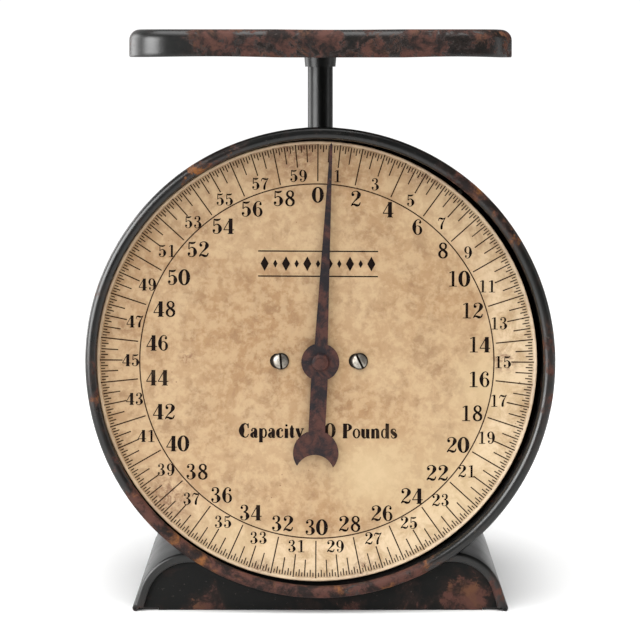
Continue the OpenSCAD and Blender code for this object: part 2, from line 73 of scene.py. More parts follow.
RIM_R = rim_size.x / 2
AXIS_Z = plate_low.z + plate_size.z / 2
WALL_R = cover_size.x / 2
POCKET_R = drum_size.x / 2
POCKET_DEPTH = 13 * MM
ROLL_R = 2.9 * MM
RIM_FRONT = -rim_low.y
DRUM_BACK = drum_high.y
DIAL_FRONT = -plate_low.y
DIAL_R = plate_size.x / 2
DIAL_SLIP = (plate_low.x + plate_high.x) / 2
SHEET = 1.2 * MM
SPRING_X = (spring_low.x + spring_high.x) / 2
POINTER_REST = math.radians(2.9)
DIAL_TURN = math.radians(0.3)
CAPACITY = 60
SHARP = 35  # degrees; smoother edges than this are shaded round


def in_face(x, up, out):
    """A point given as it is seen on the dial: right, up and towards the reader."""
    return Vector((x, -out, AXIS_Z + up))


# ---- mesh helpers
def arc(cx, cy, radius, start, end, steps):
    """Points on an arc, angles in degrees."""
    turn = [math.radians(start + (end - start) * i / steps) for i in range(steps + 1)]
    return [(cx + radius * math.cos(a), cy + radius * math.sin(a)) for a in turn]


def face_outwards(mesh):
    """Turns a closed mesh's faces so that their normals point out of it."""
    work = bmesh.new()
    work.from_mesh(mesh)
    bmesh.ops.recalc_face_normals(work, faces=work.faces)
    work.to_mesh(mesh)
    work.free()


def add_object(name, points, faces, solid=True):
    """A new mesh object; a solid one gets its faces turned outwards."""
    mesh = bpy.data.meshes.new(name)
    mesh.from_pydata([tuple(p) for p in points], [], faces)
    mesh.validate()
    if solid:
        face_outwards(mesh)
    made = bpy.data.objects.new(name, mesh)
    bpy.context.scene.collection.objects.link(made)
    return made


def add_piece(name, points, faces, body, material, sharp=SHARP, solid=True):
    """A finished piece that rides on a body; body is None when the piece is left without one."""
    piece = add_object(name, points, faces, solid)
    piece.data.materials.append(material)
    piece.data.shade_smooth()
    piece.data.set_sharp_from_angle(angle=math.radians(sharp))
    if body:
        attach(piece, body)
    return piece


def ring_faces(rings, count, closed=False):
    """Quads between successive rings of count points. The end rings are capped, or joined when closed."""
    faces = []
    for i in range(rings if closed else rings - 1):
        here, there = i * count, ((i + 1) % rings) * count
        for k in range(count):
            nxt = (k + 1) % count
            faces.append((here + k, here + nxt, there + nxt, there + k))
    if not closed:
        faces += [tuple(range(count)), tuple(range((rings - 1) * count, rings * count))]
    return faces


def lathe(name, profile, body, material, segments=256, dent=0.0):
    """Turns a closed outline of (radius, distance in front) about the dial's axis. dent sets how far it
    is knocked in."""
    points = []
    for s in range(segments):
        a = 2 * math.pi * s / segments
        for radius, out in profile:
            wobble = dent * (noise.noise(Vector((math.cos(a) * 2.2, math.sin(a) * 2.2, out * 14))) - 0.6)
            r = radius + min(wobble, 0)
            points.append(in_face(r * math.cos(a), r * math.sin(a), out))
    faces = ring_faces(segments, len(profile), closed=True)
    return add_piece(name, points, faces, body, material)


def rod(name, radius, start, end):
    """A plain cylinder between two points, for cutting with."""
    steps = 192
    start, end = Vector(start), Vector(end)
    along = (end - start).normalized()
    side = along.orthogonal().normalized()
    across = along.cross(side)
    ring = arc(0, 0, radius, 0, 360 - 360 / steps, steps - 1)
    points = [place + side * x + across * y for place in (start, end) for x, y in ring]
    return add_object(name, points, ring_faces(2, steps))


def cut(piece, radius, start, end):
    """Cuts a round hole out of a piece."""
    cutter = rod("cutter", radius, start, end)
    hole = piece.modifiers.new("cut", "BOOLEAN")
    hole.object = cutter
    hole.solver = "EXACT"
    bpy.context.view_layer.update()
    result = bpy.data.meshes.new_from_object(piece.evaluated_get(bpy.context.evaluated_depsgraph_get()))
    piece.modifiers.clear()
    piece.data = result
    result.set_sharp_from_angle(angle=math.radians(SHARP))
    bpy.data.objects.remove(cutter)


# ---- material helpers
def add_node(tree, kind, **settings):
    made = tree.nodes.new("ShaderNode" + kind)
    for key, value in settings.items():
        setattr(made, key, value)
    return made


class Graph:
    """A procedural material. Places are in the piece's own frame, in metres."""

    def __init__(self, name):
        self.material = bpy.data.materials.new(name)
        self.material.use_nodes = True
        self.tree = self.material.node_tree
        self.shader = self.tree.nodes["Principled BSDF"]
        self.place = self.tree.nodes.new("ShaderNodeTexCoord").outputs["Object"]

    def put(self, socket, value):
        """Feeds an input from another node's output, or with a number or colour."""
        if isinstance(value, bpy.types.NodeSocket):
            self.tree.links.new(value, socket)
        elif socket.type == "RGBA":
            socket.default_value = (*value, 1)
        else:
            socket.default_value = value

    def node(self, kind, inputs, output=0, **settings):
        made = add_node(self.tree, kind, **settings)
        for key, value in inputs.items():
            self.put(made.inputs[key], value)
        return made.outputs[output]

    def noise(self, scale, detail=4, rough=0.6, warp=0.0, shift=0.0, stretch=None):
        """Cloudy pattern, mostly 0.3 to 0.7; shift picks another one, stretch scales it per axis."""
        place = self.place
        if stretch or shift:
            mapping = {"Vector": place, "Location": (shift, shift * 0.7, -shift)}
            if stretch:
                mapping["Scale"] = stretch
            place = self.node("Mapping", mapping)
        inputs = {"Vector": place, "Scale": scale, "Detail": detail,
                  "Roughness": rough, "Distortion": warp}
        return self.node("TexNoise", inputs)

    def spots(self, scale, shift):
        """Distance from the nearest of scattered points."""
        place = self.node("Mapping", {"Vector": self.place, "Location": (shift, shift, shift)})
        return self.node("TexVoronoi", {"Vector": place, "Scale": scale}, feature="F1")

    def parts(self):
        """The place's x, y and z as separate values."""
        split = add_node(self.tree, "SeparateXYZ")
        self.put(split.inputs[0], self.place)
        return split.outputs

    def math(self, kind, a, b=0.0, c=0.0):
        return self.node("Math", {0: a, 1: b, 2: c}, operation=kind)

    def times(self, a, b, plus=0.0):
        return self.math("MULTIPLY_ADD", a, b, plus)

    def fade(self, value, low, high, to_low=0.0, to_high=1.0):
        """Smooth step of value from low to high."""
        inputs = {"Value": value, 1: low, 2: high, 3: to_low, 4: to_high}
        return self.node("MapRange", inputs, interpolation_type="SMOOTHSTEP")

    def blend(self, amount, first, second):
        """Colour between two others: the first at amount 0, the second at 1."""
        return self.node("Mix", {0: amount, 6: first, 7: second}, output=2, data_type="RGBA")

    def blob(self, centre, radius):
        """1 at a place, fading to 0 at a radius from it."""
        centre = self.node("CombineXYZ", {"X": centre[0], "Y": centre[1], "Z": centre[2]})
        gap = self.node("VectorMath", {0: self.place, 1: centre}, output="Value", operation="DISTANCE")
        return self.fade(gap, 0.0, radius, 1.0, 0.0)

    def bump(self, height, distance, strength):
        inputs = {"Height": height, "Distance": distance, "Strength": strength}
        self.put(self.shader.inputs["Normal"], self.node("Bump", inputs))

    def finish(self, color, rough, **constants):
        """Sets the shader's colour, roughness and any other inputs, and gives the material."""
        self.put(self.shader.inputs["Base Color"], color)
        self.put(self.shader.inputs["Roughness"], rough)
        for key, value in constants.items():
            self.put(self.shader.inputs[key.replace("_", " ").title().replace("Ior", "IOR")], value)
        return self.material


def worn_enamel(name, bare, rough, chips, hot=(), warmth=0.0, shift=0.0, shine=0.5):
    """Black enamel worn to red-brown primer. bare and chips are the noise levels above which primer and
    bright nicks show. hot lists places that are worn more, or less, each ((x, y, z), radius, amount).
    warmth reddens the rust, shift picks another pattern and shine is how much sound enamel reflects."""
    g = Graph(name)
    clouds = g.noise(34, 9, 0.68, 0.6, shift)
    grit = g.noise(150, 6, 0.72, 0.3, shift)
    level = g.times(grit, 0.36, g.times(clouds, 0.82))
    for centre, radius, amount in hot:
        level = g.times(g.blob(centre, radius), amount, level)
    primer = g.fade(level, bare, bare + 0.05)
    stain = g.fade(level, bare - 0.1, bare + 0.02)
    flecks = g.fade(g.noise(110, 6, 0.72, 0.3, shift + 3), 0.4, 0.6)
    red = g.blend(flecks, (0.014, 0.009, 0.008), (0.088, 0.036, 0.027))
    patches = g.fade(g.noise(48, 6, 0.66, 0.5, shift + 7), 0.5, 0.66)
    rust = g.blend(patches, red, (0.10 + warmth, 0.045 + warmth / 3, 0.027))
    black = g.blend(g.noise(60, 4, 0.6, 0, shift + 1), (0.002, 0.0021, 0.002), (0.007, 0.0073, 0.0066))
    paint = g.blend(g.times(stain, 0.8), black, (0.017, 0.010, 0.008))
    color = g.blend(primer, paint, rust)
    dust = g.fade(g.noise(420, 4, 0.75, 0, shift + 2), 0.64, 0.74)
    color = g.blend(g.times(dust, 0.2), color, (0.32, 0.27, 0.23))
    nick = g.fade(g.noise(95, 8, 0.78, 1.4, shift + 11), chips, chips + 0.03)
    color = g.blend(g.times(nick, 0.8), color, (0.42, 0.38, 0.34))
    smear = g.noise(48, 5, 0.7, 0.3, shift + 5)
    gloss = g.times(smear, 0.24, rough - 0.06)
    gloss = g.times(primer, 0.3, gloss)
    height = g.times(primer, -0.6, g.times(grit, 0.5))
    height = g.math("SUBTRACT", height, nick)
    g.bump(height, 0.14 * MM, 0.6)
    return g.finish(color, gloss, specular_ior_level=g.times(primer, 0.14 - shine, shine))


# Places on the dial, (right, up, radius) in metres: rubbed bright, with the amount last, and stained.
RUBBED = [(0.062, -0.062, 0.05, 0.5), (-0.045, -0.088, 0.03, 0.5), (0.024, -0.055, 0.032, 0.8),
          (0.05, 0.075, 0.03, 0.25), (0.08, -0.012, 0.024, 0.7)]
STAINED = [(-0.012, 0.103, 0.02), (0.022, -0.103, 0.012), (-0.03, -0.102, 0.009), (-0.074, -0.066, 0.018),
           (-0.065, 0.002, 0.006), (0.05, 0.094, 0.014), (0.09, 0.0, 0.01)]


def dial_paint(g):
    """Colour of the aged dial: cream card tone with brown mottling, darker stains and rust specks."""
    clouds = g.noise(15, 7, 0.62, 0.5)
    mottle = g.noise(100, 7, 0.74, 0.5, 4.0)
    grain = g.noise(620, 3, 0.7, 0.0, 2.0)
    cream, tan, brown = (0.465, 0.31, 0.168), (0.37, 0.215, 0.10), (0.22, 0.115, 0.052)
    color = g.blend(g.fade(clouds, 0.36, 0.66), cream, tan)
    color = g.blend(g.times(g.fade(mottle, 0.44, 0.66), 0.5), color, brown)
    weave = g.fade(g.noise(230, 4, 0.65, 0.2, 1.0), 0.40, 0.62, 0.0, 0.45)
    color = g.blend(weave, color, (0.62, 0.45, 0.26))
    color = g.blend(g.times(g.fade(grain, 0.48, 0.72), 0.32), color, (0.42, 0.26, 0.14))
    centre = in_face(DIAL_SLIP, 0, DIAL_FRONT)
    middle = g.node("CombineXYZ", {"X": centre.x, "Y": centre.y, "Z": centre.z})
    radius = g.node("VectorMath", {0: g.place, 1: middle}, output="Value", operation="DISTANCE")
    outer = g.fade(radius, DIAL_R * 0.76, DIAL_R * 0.86)
    right, _, high = g.parts()
    lower_right = g.fade(g.math("SUBTRACT", right, high), -0.2, 0.0, 0.02, 0.8)
    bare_card = g.blend(g.fade(mottle, 0.4, 0.66), (0.76, 0.60, 0.40), (0.50, 0.345, 0.19))
    color = g.blend(g.times(outer, lower_right), color, bare_card)
    for x, up, size, amount in RUBBED:
        bright = g.times(g.blob(in_face(x, up, DIAL_FRONT), size), amount)
        color = g.blend(bright, color, (0.60, 0.45, 0.26))
    edge_noise = g.times(g.noise(55, 6, 0.7, 0.8, 9.0), 0.024, radius)
    edge = g.fade(edge_noise, DIAL_R + 8.5 * MM, DIAL_R + 17 * MM)
    color = g.blend(g.times(edge, 0.62), color, (0.21, 0.095, 0.045))
    for x, up, size in STAINED:
        patch = g.blob(in_face(x, up, DIAL_FRONT), size)
        spotty = g.times(patch, g.fade(g.noise(330, 6, 0.75, 0.6, 6.0), 0.42, 0.62))
        color = g.blend(g.times(spotty, 0.85), color, (0.16, 0.055, 0.025))
    specks = g.fade(g.spots(210, 0.3), 0.10, 0.03)
    rare = g.fade(g.noise(34, 3, 0.5, 0.0, 12.0), 0.5, 0.62)
    color = g.blend(g.times(g.times(specks, rare), 0.8), color, (0.17, 0.07, 0.03))
    return color


def dial_material(name="aged_cream_dial", painted_highlight=0.0):
    """How far the colour is lifted to pale cream, a painted highlight; used on the dial's edge."""
    g = Graph(name)
    color = g.blend(painted_highlight, dial_paint(g), (0.72, 0.58, 0.42))
    rough = g.times(g.noise(90, 5, 0.6, 0, 1.5), 0.22, 0.42)
    g.bump(g.noise(380, 5, 0.7, 0.2, 3.0), 0.06 * MM, 0.5)
    return g.finish(color, rough, specular_ior_level=0.3)


def ink_material(name, color, worn):
    """Printing ink that has rubbed thin where noise is above worn, so the dial shows through."""
    g = Graph(name)
    thin = g.fade(g.noise(260, 6, 0.75, 0.4, 8.0), worn, worn + 0.16)
    rubbed = g.fade(g.noise(40, 5, 0.6, 0.3, 5.0), 0.55, 0.8, 0.0, 0.12)
    lost = g.math("MAXIMUM", g.times(thin, 0.6), rubbed)
    mixed = g.blend(lost, color, dial_paint(g))
    return g.finish(mixed, g.times(thin, 0.2, 0.5), specular_ior_level=0.05)


def bare_metal(name, light, dark, rough, tarnish=0.5):
    """Metal that has dulled from light to dark where noise is above tarnish, with fine brush lines."""
    g = Graph(name)
    cloud = g.noise(130, 6, 0.65, 0.3)
    color = g.blend(g.fade(cloud, tarnish - 0.12, tarnish + 0.2), light, dark)
    pits = g.fade(g.noise(520, 4, 0.7, 0, 3.0), 0.6, 0.72, 0.0, 0.5)
    color = g.blend(pits, color, tuple(c * 0.4 for c in dark))
    gloss = g.times(g.noise(300, 4, 0.6, 0, 2.0), 0.25, rough - 0.1)
    lines = g.noise(900, 3, 0.6, stretch=(1, 1, 0.06))
    g.bump(lines, 0.03 * MM, 0.4)
    return g.finish(color, gloss, metallic=1.0)


def screw_material():
    """Dull nickel screw heads, with painted shade in the slot and around the foot of the head."""
    g = Graph("screw_nickel")
    _, depth, _ = g.parts()
    cloud = g.noise(420, 5, 0.65, 0.3)
    color = g.blend(g.fade(cloud, 0.35, 0.7), (0.36, 0.34, 0.30), (0.14, 0.12, 0.10))
    # painted shade: the head is darkened below a depth, in the slot and round its foot, where shade falls
    low = g.fade(g.times(depth, -1), DIAL_FRONT + 1.75 * MM, DIAL_FRONT + 1.3 * MM)
    head_r = heads_size.z / 2
    middles = (heads_low.x + head_r, heads_high.x - head_r)
    left, right = (g.blob((x, -DIAL_FRONT - 1 * MM, AXIS_Z), 1.7 * head_r) for x in middles)
    inside = g.fade(g.math("MAXIMUM", left, right), 0.25, 0.4)
    color = g.blend(g.times(low, inside), color, (0.012, 0.009, 0.007))
    g.bump(g.noise(900, 3, 0.6), 0.03 * MM, 0.4)
    return g.finish(color, g.times(cloud, 0.3, 0.3), metallic=1.0)


def pointer_material():
    """Black paint gone to red-brown rust in clouds, with pale specks."""
    g = Graph("rusted_pointer")
    clouds = g.noise(130, 8, 0.7, 0.4, 2.0)
    red = g.blend(g.noise(300, 5, 0.7, 0.2, 4.0), (0.03, 0.012, 0.01), (0.115, 0.04, 0.028))
    black = g.blend(g.noise(300, 4, 0.6), (0.005, 0.003, 0.005), (0.016, 0.012, 0.015))
    color = g.blend(g.fade(clouds, 0.42, 0.62), black, red)
    pale = g.fade(g.noise(560, 5, 0.75, 0.3, 7.0), 0.6, 0.72)
    color = g.blend(g.times(pale, 0.3), color, (0.2, 0.12, 0.1))
    g.bump(g.noise(420, 6, 0.7, 0.3), 0.12 * MM, 0.8)
    return g.finish(color, g.times(clouds, 0.25, 0.45), specular_ior_level=0.2)


def floor_material():
    """Matt studio floor, white with a faint unevenness."""
    g = Graph("pale_floor")
    color = g.blend(g.noise(3, 3), (0.93, 0.93, 0.925), (0.95, 0.95, 0.945))
    return g.finish(color, 0.9, specular_ior_level=0.1)


ENAMEL = {
    "drum": worn_enamel(
        "drum_enamel", bare=0.66, rough=0.3, chips=0.8, warmth=0.02,
        hot=[((-0.03, 0, 0.012), 0.05, 0.12)]),
    "rim": worn_enamel(
        "rim_enamel", bare=0.66, rough=0.24, chips=0.72, warmth=0.15, shift=0.4, shine=0.4,
        hot=[((-0.078, rim_low.y, 0.037), 0.045, 0.30), ((-0.045, rim_low.y, 0.016), 0.05, 0.26),
             ((0.0, rim_low.y, 0.007), 0.05, 0.2), ((0.04, rim_low.y, 0.014), 0.035, 0.14),
             ((0.07, rim_low.y, 0.211), 0.022, 0.12), ((-0.06, rim_low.y, 0.22), 0.03, 0.08),
             ((0.113, rim_low.y, 0.13), 0.02, 0.05)]),
    "pan": worn_enamel(
        "pan_enamel", bare=0.595, rough=0.3, chips=0.66, warmth=0.015, shift=0.21, shine=0.42,
        hot=[((-0.028, pan_low.y, 0.272), 0.04, 0.07), ((0.045, pan_low.y, 0.272), 0.06, 0.07),
             ((-0.055, pan_low.y, 0.283), 0.022, 0.13), ((0.02, pan_low.y, 0.281), 0.03, 0.04),
             ((-0.085, pan_low.y, 0.274), 0.03, -0.07), ((0.088, pan_low.y, 0.276), 0.03, -0.09)]),
    "base": worn_enamel(
        "base_enamel", bare=0.70, rough=0.3, chips=0.68, shift=0.8, shine=0.4,
        hot=[((0.082, base_low.y, 0.008), 0.02, 0.16), ((-0.085, base_low.y, 0.003), 0.014, 0.16),
             ((-0.076, base_low.y, 0.016), 0.02, -0.04)]),
    "panel": worn_enamel(
        "panel_enamel", bare=0.72, rough=0.46, chips=0.74, warmth=0.015, shift=1.3, shine=0.12,
        hot=[((0.074, base_low.y, 0.007), 0.026, 0.24), ((0.045, base_low.y, 0.002), 0.018, 0.2),
             ((0.0, base_low.y, -0.006), 0.03, 0.22), ((-0.055, base_low.y, -0.005), 0.02, 0.24)]),
    "post": worn_enamel("post_enamel", bare=0.74, rough=0.28, chips=0.82, shift=2.1, shine=0.3),
    "cover": worn_enamel("cover_enamel", bare=0.66, rough=0.32, chips=0.78, shift=3.4, shine=0.4),
}
DIAL = dial_material()
# painted highlight: the dial plate's edge is coloured paler, in place of the light its lip catches
DIAL_EDGE_HIGHLIGHT = dial_material("dial_edge_painted_highlight", 0.35)
INK = ink_material("dial_ink", (0.008, 0.004, 0.003), 0.68)
FINE_INK = ink_material("fine_dial_ink", (0.035, 0.017, 0.009), 0.60)
NICKEL = bare_metal("dull_nickel", (0.56, 0.53, 0.48), (0.34, 0.31, 0.27), 0.34, 0.55)
SCREW = screw_material()
GRIMY = bare_metal("grimy_steel", (0.05, 0.042, 0.036), (0.02, 0.016, 0.013), 0.6)
STEEL = bare_metal("bare_steel", (0.42, 0.41, 0.39), (0.2, 0.18, 0.16), 0.42)
SPRING = bare_metal("spring_wire", (0.3, 0.29, 0.28), (0.14, 0.13, 0.12), 0.36)
BRASS = bare_metal("dull_brass", (0.55, 0.40, 0.18), (0.28, 0.19, 0.09), 0.38)
RUSTED = pointer_material()


# ---- drum and bezel
def build_drum():
    """Pressed drum with a wider pocket at the front: one closed outline turned about the dial's axis."""
    gauge = 1 * MM
    back_bend = 1.4 * MM
    flange = 7 * MM
    pocket_back = RIM_FRONT - POCKET_DEPTH
    pocket_front = RIM_FRONT - 2 * ROLL_R
    profile = [(WALL_R - flange, -DRUM_BACK)]
    profile += arc(WALL_R - back_bend, back_bend - DRUM_BACK, back_bend, -90, 0, 6)
    profile += [(WALL_R, 0), (WALL_R, pocket_back - gauge), (WALL_R + 0.5 * MM, pocket_back - 0.2 * MM)]
    profile += [(POCKET_R, pocket_back + 0.6 * MM), (POCKET_R, pocket_front)]
    profile += [(POCKET_R - gauge, pocket_front), (POCKET_R - gauge, pocket_back + gauge)]
    profile += [(WALL_R - gauge, pocket_back), (WALL_R - gauge, 0)]
    profile += [(WALL_R - gauge, gauge - DRUM_BACK), (WALL_R - flange, gauge - DRUM_BACK)]
    drum = lathe("drum_body", profile, "housing", ENAMEL["drum"], 320, 0.3 * MM)
    above, over = AXIS_Z + WALL_R - 8 * MM, AXIS_Z + RIM_R + 8 * MM
    cut(drum, post_size.x / 2 + 2 * MM, (0, 0, above), (0, 0, over))
    screw_y = (screw_low.y + screw_high.y) / 2
    cut(drum, screw_size.x / 2 + 0.5 * MM, (0, screw_y, above), (0, screw_y, over))
    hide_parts("drum_shell")


def build_rim():
    """Front rim rolled over a wire, a little flattened on its face, with a skirt into the pocket."""
    centre_r, centre_out = RIM_R - ROLL_R, RIM_FRONT - ROLL_R
    skirt = POCKET_R - 1.05 * MM
    roll = []
    for x, out in arc(0, 0, ROLL_R, -150, 195, 40):
        flatten = 1 - 0.06 * max(0.0, out / ROLL_R) ** 2
        roll.append((centre_r + x, centre_out + out * flatten))
    roll += [(skirt - 0.45 * MM, centre_out - 0.6 * MM), (skirt - 0.45 * MM, DIAL_FRONT + 0.4 * MM)]
    roll += [(skirt, DIAL_FRONT + 0.4 * MM), (skirt, centre_out - 1.9 * MM)]
    rim = lathe("rolled_rim", roll, "housing", ENAMEL["rim"], 360, 0.25 * MM)
    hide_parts("rim_bezel")


# ---- platform
def rounded_square(half, corner, per_side, per_corner):
    """Outline of a square with rounded corners, anticlockwise, as (x, y) points."""
    points = []
    flat = half - corner
    for quarter in range(4):
        turn = math.radians(90 * quarter)
        c, s = math.cos(turn), math.sin(turn)
        side = [(half, -flat + 2 * flat * i / per_side) for i in range(per_side)]
        side += arc(flat, flat, corner, 0, 90, per_corner)[:-1]
        points += [(x * c - y * s, x * s + y * c) for x, y in side]
    return points


def worn_shape(x, y, z):
    """Moves a point of the platform a little, as a skirt that has been knocked about."""
    half = pan_size.x / 2
    pull = 1 + min(0.0, noise.noise(Vector((x * 14, y * 14, 4)))) * 0.7 * MM / half
    on_hem = z < pan_low.z + 2 * MM
    wave = noise.noise(Vector((x * 16, y * 16, 0.3)))
    lift = max(0.0, wave) * 0.9 * MM if on_hem else min(0.0, wave) * 0.4 * MM
    return x * pull, y * pull, z + lift


def build_pan():
    """Pressed square platform: rings of points out over the top, down the edge and back up inside."""
    half = pan_size.x / 2
    top, bottom = pan_high.z, pan_low.z
    corner = 20 * MM
    edge = 5.2 * MM
    gauge = SHEET * 0.9
    inner = edge - gauge
    profile = [(inset, top) for inset in (60 * MM, 36 * MM, 19 * MM, 9 * MM)]
    profile += [(edge + y, z) for y, z in arc(0, top - edge, edge, 90, 180, 7)]
    profile += [(0, top - 8 * MM), (0, top - 11 * MM), (0, bottom + 0.7 * MM)]
    profile += [(0.35 * MM, bottom + 0.1 * MM), (gauge, bottom + 0.1 * MM)]
    profile += [(gauge + 0.2 * MM, bottom + 0.9 * MM), (gauge, top - 8 * MM)]
    profile += [(edge + y, z) for y, z in arc(0, top - edge, inner, 180, 90, 5)]
    profile += [(inset, top - gauge) for inset in (19 * MM, 36 * MM, 60 * MM)]
    per_side, per_corner = 40, 10
    points = []
    for inset, z in profile:
        for x, y in rounded_square(half - inset, max(corner - inset, 1.5 * MM), per_side, per_corner):
            points.append(worn_shape(x, y, z))
    faces = ring_faces(len(profile), 4 * (per_side + per_corner))
    pan = add_piece("platform_tray", points, faces, "platform", ENAMEL["pan"], 50)
    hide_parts("platform_pan")


# ---- pedestal
def arch_outline():
    """Right foot over the crown to the left foot: (x, z, outward normal x, z)."""
    half = base_size.x / 2
    lean = 2.8 * MM
    bend = 25.3 * MM
    start = math.radians(15)
    cx = half - lean - bend * math.cos(start)
    cz = base_size.z - bend
    foot_z, knee_z = 2.6 * MM, cz + bend * math.sin(start)
    right = []
    for i in range(4):
        z = foot_z + (knee_z - foot_z) * i / 4
        right.append((half - lean * z / knee_z, z, math.cos(start), math.sin(start)))
    for i in range(17):
        a = start + (math.pi / 2 - start) * i / 16
        right.append((cx + bend * math.cos(a), cz + bend * math.sin(a), math.cos(a), math.sin(a)))
    flat = [(cx * (1 - i / 12), base_size.z, 0.0, 1.0) for i in range(1, 24)]
    left = [(-x, z, -nx, nz) for x, z, nx, nz in reversed(right)]
    return right + flat + left


def wrap_section():
    """Front to back through the wrap, (y, depth below the outer skin): soft nose, lip, plain sheet."""
    front = base_low.y
    lip = 4.6 * MM
    nose = 1.5 * MM
    turns = [math.radians(15 * i) for i in range(7)]
    near = [(front + nose - nose * math.sin(a), nose - nose * math.cos(a)) for a in turns]
    near += [(front, lip - 0.7 * MM), (front + 0.3 * MM, lip - 0.2 * MM), (front + 0.9 * MM, lip)]
    near += [(front + 2.6 * MM, lip), (front + 3.2 * MM, SHEET), (front + 20 * MM, SHEET)]
    far = [(-y, depth) for y, depth in reversed(near)]
    skin = [(-front * share, 0.0) for share in (0.8, 0.4, 0.0, -0.4, -0.8)]
    return near + [(0.0, SHEET)] + far + skin


def build_wrap():
    """The bent sheet of the pedestal, with its seat cut to the drum's wall and to the wider pocket."""
    section, outline = wrap_section(), arch_outline()
    points = []
    for x, z, nx, nz in outline:
        for y, depth in section:
            dent = max(0.0, noise.noise(Vector((x * 13, y * 13, z * 20)))) * 0.6 * MM
            points.append((x - nx * (depth + dent), y, z - nz * (depth + dent)))
    faces = ring_faces(len(outline), len(section))
    wrap = add_piece("pedestal_wrap", points, faces, "housing", ENAMEL["base"])
    gap = 0.4 * MM
    behind_pocket = RIM_FRONT - POCKET_DEPTH - 0.3 * MM
    cut(wrap, POCKET_R + gap, in_face(0, 0, behind_pocket), in_face(0, 0, RIM_FRONT + 10 * MM))
    cut(wrap, WALL_R + gap, in_face(0, 0, -DRUM_BACK - 6 * MM), in_face(0, 0, RIM_FRONT))
    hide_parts("base_wrap")


def build_foot(side, label):
    """Rolled edge along one foot, hollow at its ends, and the flange that turns in under the pedestal."""
    r = 1.5 * MM
    half = base_size.x / 2
    front, back = base_low.y, base_high.y
    steps = 24
    stations = [(front + 0.9 * MM, 0.5), (front, 0.55), (front, 0.9), (front + 0.25 * MM, 1.0)]
    stations += [(front + (back - front) * i / 12, 1.0) for i in range(1, 12)]
    stations += [(back - 0.25 * MM, 1.0), (back, 0.9), (back, 0.55), (back - 0.9 * MM, 0.5)]
    points = []
    for y, share in stations:
        for x, z in arc(side * (half - r), r, r * share, 0, 360 - 360 / steps, steps - 1):
            points.append((x, y, z))
    faces = ring_faces(len(stations), steps)
    add_piece(f"{label}_foot_hem", points, faces, "housing", ENAMEL["base"])
    flange, set_back = 12.2 * MM, 3.2 * MM
    strip = [(r, 0.0), (flange, 0.0), (flange, SHEET), (r, SHEET)]
    points = [(side * (half - x), y, z) for y in (front + set_back, back - set_back) for x, z in strip]
    add_piece(f"{label}_foot_flange", points, ring_faces(2, 4), "housing", ENAMEL["base"])


# ---- dial printing
INK_RISE = 0.05 * MM
LAYER = 0.002 * MM


def on_dial(x, up, rise):
    """A place on the dial plate, which has slipped and turned a little in its screw holes."""
    c, s = math.cos(DIAL_TURN), math.sin(DIAL_TURN)
    return in_face(DIAL_SLIP + x * c + up * s, up * c - x * s, DIAL_FRONT + rise)


def polar(radius, turn):
    """Right and up on the dial for a radius and an angle clockwise from the top."""
    return radius * math.sin(turn), radius * math.cos(turn)


class Print:
    """Flat printed shapes collected into one mesh."""

    def __init__(self):
        self.points, self.faces = [], []

    def polygon(self, corners, rise=INK_RISE):
        first = len(self.points)
        self.points += [on_dial(x, up, rise) for x, up in corners]
        self.faces.append(tuple(range(first, first + len(corners))))

    def strip(self, spine, rise=INK_RISE):
        """A line through (x, up, half width) points, with square ends."""
        first = len(self.points)
        last = len(spine) - 1
        for i, (x, up, half) in enumerate(spine):
            before, after = spine[max(i - 1, 0)], spine[min(i + 1, last)]
            along = Vector((after[0] - before[0], after[1] - before[1]))
            side = Vector((-along.y, along.x)).normalized() * half
            for sign in (1, -1):
                self.points.append(on_dial(x + sign * side.x, up + sign * side.y, rise))
        for i in range(last):
            a = first + 2 * i
            self.faces.append((a, a + 1, a + 3, a + 2))

    def done(self, name, material):
        return add_piece(name, self.points, self.faces, "housing", material, solid=False)


def smooth(points, steps=6):
    """Catmull-Rom curve through points of any dimension."""
    out = []
    last = len(points) - 1
    for i in range(last):
        run = zip(points[max(i - 1, 0)], points[i], points[i + 1], points[min(i + 2, last)])
        curve = [(2 * b, c - a, 2 * a - 5 * b + 4 * c - d, 3 * b - a - 3 * c + d) for a, b, c, d in run]
        for t in (s / steps for s in range(steps)):
            out.append(tuple(0.5 * (p + q * t + r * t * t + u * t ** 3) for p, q, r, u in curve))
    return out + [tuple(points[last])]


